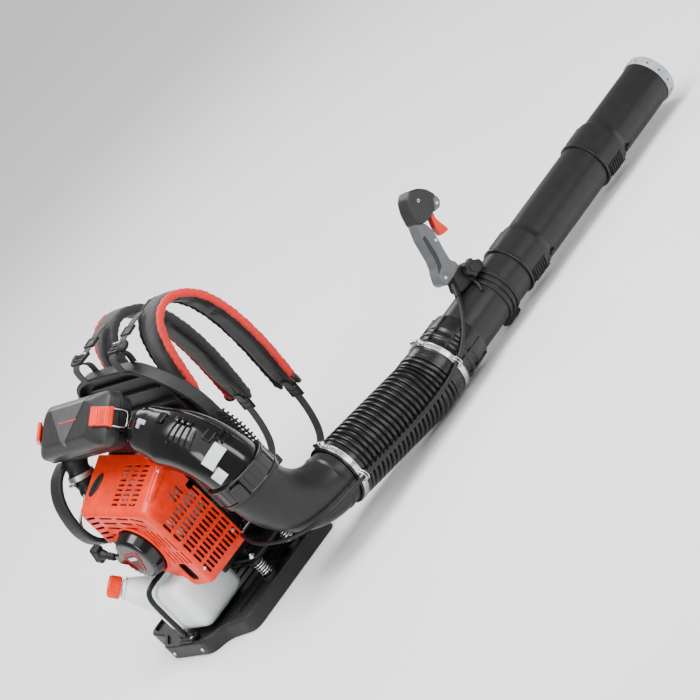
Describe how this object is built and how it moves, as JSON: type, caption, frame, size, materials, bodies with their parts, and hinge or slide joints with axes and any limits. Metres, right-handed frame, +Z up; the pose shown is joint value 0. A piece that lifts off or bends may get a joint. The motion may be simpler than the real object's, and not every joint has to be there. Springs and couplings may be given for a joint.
{
  "type": "backpack leaf blower",
  "caption": "Backpack leaf blower: petrol engine and fan on a harness frame, with an elbow, flexible hose, swivelling tube, throttle handle and round nozzle.",
  "frame": {"origin": "on the floor under the middle of the base, on the base's flat underside", "axes": "+Z up, +Y the wearer's forward direction along the tube, +X to the wearer's right, where the tube is"},
  "size_m": [0.5602, 1.3668, 0.4932],
  "materials": {
    "frame_plastic": "fine moulded texture",
    "gloss_black": "glossy moulded",
    "tube_black": "satin",
    "hose_rubber": "satin flexible plastic",
    "orange_plastic": "glossy moulded",
    "cleaner_grey": "satin moulded",
    "grip_grey": "satin moulded",
    "nozzle_grey": "satin",
    "tank_white": "translucent natural plastic",
    "strap_fabric": "woven",
    "webbing": "woven",
    "rubber": "matte",
    "cast_alu": "cast",
    "steel": "zinc plated",
    "dark_steel": "black painted steel",
    "filter_media": "pleated paper and foam"
  },
  "bodies": {
    "machine": {"base_frame": "frame_plastic", "back_panel": "frame_plastic", "intake_guard": "gloss_black", "back_pad": "strap_fabric", "shoulder_straps": "strap_fabric", "strap_webbing": "webbing", "strap_buckles": "frame_plastic", "mount_springs": "steel", "engine_cradle": "dark_steel", "volute_rear": "gloss_black", "volute_front": "gloss_black", "case_screws": "steel", "crankcase": "cast_alu", "cylinder": "cast_alu", "piston": "cast_alu", "connecting_rod": "steel", "crank_throw": "steel", "spark_plug": "steel", "plug_cap": "rubber", "muffler": "steel", "carburettor": "cast_alu", "intake_boot": "rubber", "boot_clamp": "steel", "left_guard": "cleaner_grey", "engine_cover": "orange_plastic", "recoil_housing": "frame_plastic", "fuel_tank": "tank_white", "guard_hoop": "dark_steel", "air_cleaner_case": "cleaner_grey", "air_filter": "filter_media", "air_cleaner_cover": "cleaner_grey", "starter_rope": "webbing"},
    "fan": {"impeller": "gloss_black", "shaft_ends": "steel", "flywheel": "cast_alu"},
    "throttle_lever": {"throttle_lever": "steel"},
    "choke_lever": {"choke_lever": "frame_plastic"},
    "purge_bulb": {"purge_bulb": "rubber"},
    "starter_pulley": {"starter_pulley": "frame_plastic"},
    "starter_grip": {"starter_grip": "frame_plastic"},
    "fuel_cap": {"fuel_cap": "orange_plastic"},
    "latch_right": {"latch_right": "orange_plastic"},
    "latch_left": {"latch_left": "orange_plastic"},
    "elbow": {"elbow": "tube_black", "hose_clamp_rear": "steel"},
    "hose": {"flex_hose": "hose_rubber", "throttle_cable": "rubber"},
    "cuff": {"hose_cuff": "gloss_black", "hose_clamp_front": "steel"},
    "swivel_pipe": {"swivel_pipe": "tube_black"},
    "middle_pipe": {"middle_pipe": "tube_black"},
    "nozzle_pipe": {"nozzle_pipe": "tube_black", "nozzle_ring": "nozzle_grey"},
    "handle": {"handle_bracket": "frame_plastic", "handle_grip": "grip_grey", "handle_head": "frame_plastic", "handle_screws": "steel"},
    "knob": {"bracket_knob": "frame_plastic"},
    "trigger": {"trigger": "orange_plastic"},
    "stop_switch": {"stop_switch": "frame_plastic"}
  },
  "joints": [
    {"name": "crank_spin", "type": "hinge", "parent": "machine", "child": "fan", "pos_m": [0.035, 0, 0.208], "axis": [0, 1, 0], "continuous": true},
    {"name": "starter_pull", "type": "slide", "parent": "machine", "child": "starter_grip", "axis": [-0.9007, -0.06, 0.4303], "range_m": [0, 0.75], "stiffness_N_per_m": 20, "deforming": ["starter_rope"]},
    {"name": "pulley_spin", "type": "hinge", "parent": "machine", "child": "starter_pulley", "pos_m": [0.035, -0.079, 0.208], "axis": [0, 1, 0], "range_deg": [-10, 1445]},
    {"name": "throttle_lever_turn", "type": "hinge", "parent": "machine", "child": "throttle_lever", "pos_m": [-0.052, -0.004, 0.295], "axis": [0, 0, 1], "range_deg": [-1, 61]},
    {"name": "choke_lever_turn", "type": "hinge", "parent": "machine", "child": "choke_lever", "pos_m": [-0.058, -0.027, 0.262], "axis": [0, 1, 0], "range_deg": [0, 80]},
    {"name": "purge_press", "type": "slide", "parent": "machine", "child": "purge_bulb", "axis": [0, 1, 0], "range_m": [0, 0.003], "stiffness_N_per_m": 800},
    {"name": "fuel_cap_turn", "type": "hinge", "parent": "machine", "child": "fuel_cap", "pos_m": [-0.07, -0.114, 0.176], "axis": [-0.4194, -0.4493, 0.7888], "range_deg": [0, 450]},
    {"name": "latch_right_open", "type": "hinge", "parent": "machine", "child": "latch_right", "pos_m": [0.1358, 0.02738, 0.4331], "axis": [0, 0.848, 0.5299], "range_deg": [0, 75]},
    {"name": "latch_left_open", "type": "hinge", "parent": "machine", "child": "latch_left", "pos_m": [-0.1358, 0.02738, 0.4331], "axis": [0, 0.848, 0.5299], "range_deg": [-75, 0]},
    {"name": "elbow_swivel", "type": "hinge", "parent": "machine", "child": "elbow", "pos_m": [0.306, 0.045, 0.217], "axis": [0, 0, 1], "range_deg": [-30, 16]},
    {"name": "hose_bend_rear", "type": "hinge", "parent": "elbow", "child": "hose", "pos_m": [0.306, 0.245, 0.086], "axis": [1, 0, 0], "range_deg": [-14, 20], "deforming": ["flex_hose", "throttle_cable"]},
    {"name": "hose_bend_front", "type": "hinge", "parent": "hose", "child": "cuff", "pos_m": [0.306, 0.375, 0.068], "axis": [1, 0, 0], "range_deg": [-14, 20], "deforming": ["flex_hose", "throttle_cable"]},
    {"name": "pipe_roll", "type": "hinge", "parent": "cuff", "child": "swivel_pipe", "pos_m": [0.306, 0.5, 0.064], "axis": [0, 1, 0], "range_deg": [-45, 45], "deforming": ["throttle_cable"]},
    {"name": "middle_pipe_twist", "type": "hinge", "parent": "swivel_pipe", "child": "middle_pipe", "pos_m": [0.306, 0.72, 0.064], "axis": [0, 1, 0], "range_deg": [0, 25]},
    {"name": "nozzle_pipe_twist", "type": "hinge", "parent": "middle_pipe", "child": "nozzle_pipe", "pos_m": [0.306, 0.995, 0.064], "axis": [0, 1, 0], "range_deg": [0, 25]},
    {"name": "handle_slide", "type": "slide", "parent": "swivel_pipe", "child": "handle", "axis": [0, 1, 0], "range_m": [-0.03, 0.03], "deforming": ["throttle_cable"]},
    {"name": "knob_turn", "type": "hinge", "parent": "handle", "child": "knob", "pos_m": [0.306, 0.64, 0.134], "axis": [1, 0, 0], "continuous": true},
    {"name": "trigger_pull", "type": "hinge", "parent": "handle", "child": "trigger", "pos_m": [0.306, 0.668, 0.249], "axis": [1, 0, 0], "range_deg": [-9, 0], "stiffness_Nm_per_rad": 0.6},
    {"name": "stop_switch_turn", "type": "hinge", "parent": "handle", "child": "stop_switch", "pos_m": [0.285, 0.664, 0.278], "axis": [1, 0, 0], "range_deg": [0, 35]}
  ],
  "couplings": [
    {"joint": "pulley_spin", "follows": "starter_pull", "rad_per_m": 33.333},
    {"joint": "throttle_lever_turn", "follows": "trigger_pull", "ratio": -6.5},
    {"joint": "hose_bend_front", "follows": "hose_bend_rear", "ratio": 1}
  ]
}
